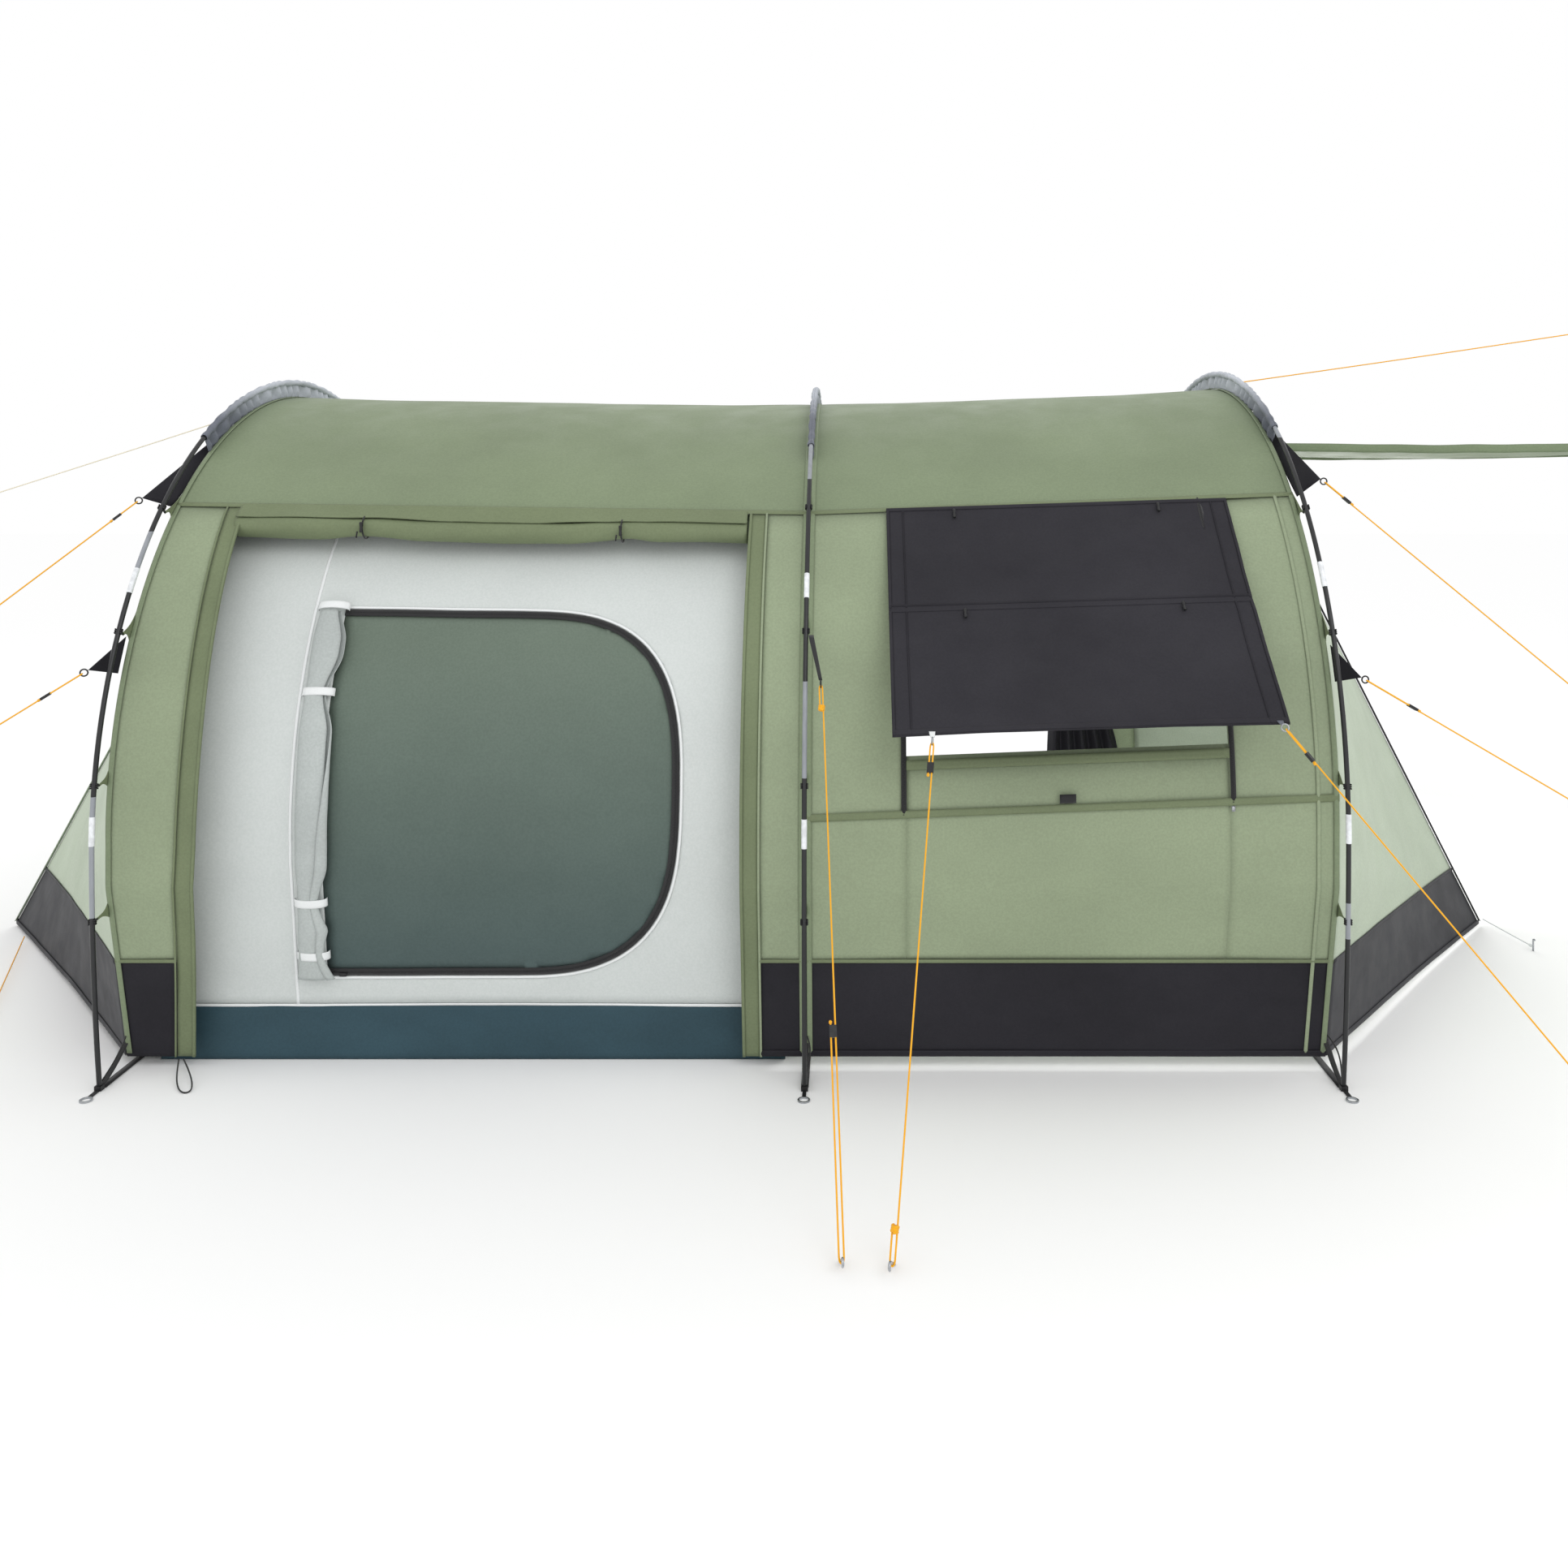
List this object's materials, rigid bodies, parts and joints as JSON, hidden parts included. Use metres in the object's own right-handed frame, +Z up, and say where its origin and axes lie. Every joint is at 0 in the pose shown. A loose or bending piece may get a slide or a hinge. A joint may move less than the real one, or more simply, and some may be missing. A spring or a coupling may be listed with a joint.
{
  "type": "tunnel tent",
  "caption": "Tunnel tent on hooped poles with tapered ends, a raised entrance canopy on poles, a propped window flap, an inner sleeping cabin, guylines and ground pegs.",
  "frame": {"origin": "on the ground, on the tunnel centre line, in the plane of the middle hoop", "axes": "+X along the tunnel towards the entrance end with the canopy, +Y across it away from the side with the cabin door and window flap, +Z up"},
  "size_m": [6.9112, 3.479, 2.1526],
  "materials": {
    "pole_tube": "satin glass-fibre tube, black",
    "ferrule": "satin light grey",
    "shock_cord": "woven elastic",
    "black_fitting": "matt moulded",
    "peg_ring": "plated",
    "fly_fabric": "coated polyester, faint sheen",
    "sleeve_fabric": "thin ruffled polyester",
    "dark_fabric": "coated polyester, charcoal",
    "webbing": "woven tape",
    "edging_fabric": "coated polyester, olive",
    "apse_fabric": "coated polyester, pale green",
    "flap_fabric": "coated polyester, dark grey",
    "flap_fitting": "matt",
    "inner_fabric": "breathable polyester, off-white",
    "tub_fabric": "coated woven polyethylene, teal",
    "mesh": "fine insect mesh",
    "canopy_pole": "satin",
    "peg": "plated wire",
    "guy_cord": "braided yellow cord",
    "runner": "matt moulded"
  },
  "bodies": {
    "tent": {"hoop_left": "pole_tube", "hoop_middle": "pole_tube", "hoop_right": "pole_tube", "pole_ferrules": "ferrule", "shock_cords": "shock_cord", "door_tie": "shock_cord", "foot_pins": "black_fitting", "pole_clips": "black_fitting", "toggles": "black_fitting", "inner_door_tabs": "inner_fabric", "peg_rings": "peg_ring", "guy_rings": "peg_ring", "clip_tabs": "fly_fabric", "fly_roof": "fly_fabric", "fly_wall_near_left": "fly_fabric", "fly_wall_near_right": "fly_fabric", "fly_wall_far": "fly_fabric", "pole_sleeves": "sleeve_fabric", "guy_tabs": "dark_fabric", "mud_band": "dark_fabric", "far_door_curtain": "dark_fabric", "foot_straps": "webbing", "zip_tapes": "webbing", "door_edging": "edging_fabric", "side_door_roll": "edging_fabric", "apse_panels": "apse_fabric", "canopy_panel": "apse_fabric", "flap_upper": "flap_fabric", "inner_wall_near": "inner_fabric", "inner_shell": "inner_fabric", "inner_door_roll": "inner_fabric", "tub_floor": "tub_fabric", "inner_door_mesh": "mesh", "canopy_lower_tubes": "canopy_pole", "guy_pegs": "peg", "guy_left_upper": "guy_cord", "guy_left_lower": "guy_cord", "guy_right_upper": "guy_cord", "guy_right_lower": "guy_cord", "guy_middle": "guy_cord", "guy_flap_left": "guy_cord", "guy_flap_right": "guy_cord", "guy_apse_left": "guy_cord", "guy_apse_right": "guy_cord", "guy_top_left": "guy_cord", "guy_top_right": "guy_cord", "guy_knots": "guy_cord"},
    "flap": {"flap_lower": "flap_fabric", "flap_fittings": "flap_fitting"},
    "canopy_poles_upper": {"canopy_upper_tubes": "canopy_pole"},
    "zip_pull_left": {"window_zip_pull_left": "black_fitting"},
    "zip_pull_right": {"window_zip_pull_right": "black_fitting"},
    "zip_pull_inner": {"inner_zip_pull": "black_fitting"},
    "runner_left_upper": {"slider_left_upper": "runner"},
    "runner_left_lower": {"slider_left_lower": "runner"},
    "runner_right_upper": {"slider_right_upper": "runner"},
    "runner_right_lower": {"slider_right_lower": "runner"},
    "runner_middle": {"slider_middle": "runner"},
    "runner_flap_left": {"slider_flap_left": "runner"},
    "runner_flap_right": {"slider_flap_right": "runner"}
  },
  "joints": [
    {"name": "flap_fold", "type": "hinge", "parent": "tent", "child": "flap", "pos_m": [0.7215, -1.153, 1.26914], "axis": [0.9992, 0, 0.039], "range_deg": [0, 27], "deforming": ["guy_flap_left", "guy_flap_right"]},
    {"name": "canopy_height", "type": "slide", "parent": "tent", "child": "canopy_poles_upper", "axis": [0, 0, 1], "range_m": [-0.3, 0.1], "deforming": ["canopy_panel"]},
    {"name": "zip_left_slide", "type": "slide", "parent": "tent", "child": "zip_pull_left", "axis": [0, 0.0977, 0.9952], "range_m": [-0.02, 0.11]},
    {"name": "zip_right_slide", "type": "slide", "parent": "tent", "child": "zip_pull_right", "axis": [0, 0.0977, 0.9952], "range_m": [-0.02, 0.13]},
    {"name": "zip_inner_slide", "type": "slide", "parent": "tent", "child": "zip_pull_inner", "axis": [1, 0, 0], "range_m": [0, 0.85]},
    {"name": "runner_left_upper_slide", "type": "slide", "parent": "tent", "child": "runner_left_upper", "axis": [0.6662, 0.3708, 0.6471], "range_m": [0, 0.035]},
    {"name": "runner_left_lower_slide", "type": "slide", "parent": "tent", "child": "runner_left_lower", "axis": [0.7754, 0.3183, 0.5453], "range_m": [0, 0.065]},
    {"name": "runner_right_upper_slide", "type": "slide", "parent": "tent", "child": "runner_right_upper", "axis": [-0.7625, 0.051, 0.645], "range_m": [0, 0.045]},
    {"name": "runner_right_lower_slide", "type": "slide", "parent": "tent", "child": "runner_right_lower", "axis": [-0.8633, -0.0625, 0.5008], "range_m": [0, 0.11]},
    {"name": "runner_middle_slide", "type": "slide", "parent": "tent", "child": "runner_middle", "axis": [0.0465, -0.5946, -0.8027], "range_m": [0, 0.38]},
    {"name": "runner_flap_left_slide", "type": "slide", "parent": "flap", "child": "runner_flap_left", "axis": [0.1049, 0.5389, 0.8358], "range_m": [0, 0.033]},
    {"name": "runner_flap_right_slide", "type": "slide", "parent": "flap", "child": "runner_flap_right", "axis": [-0.5602, 0.3643, 0.7439], "range_m": [0, 0.052]}
  ]
}
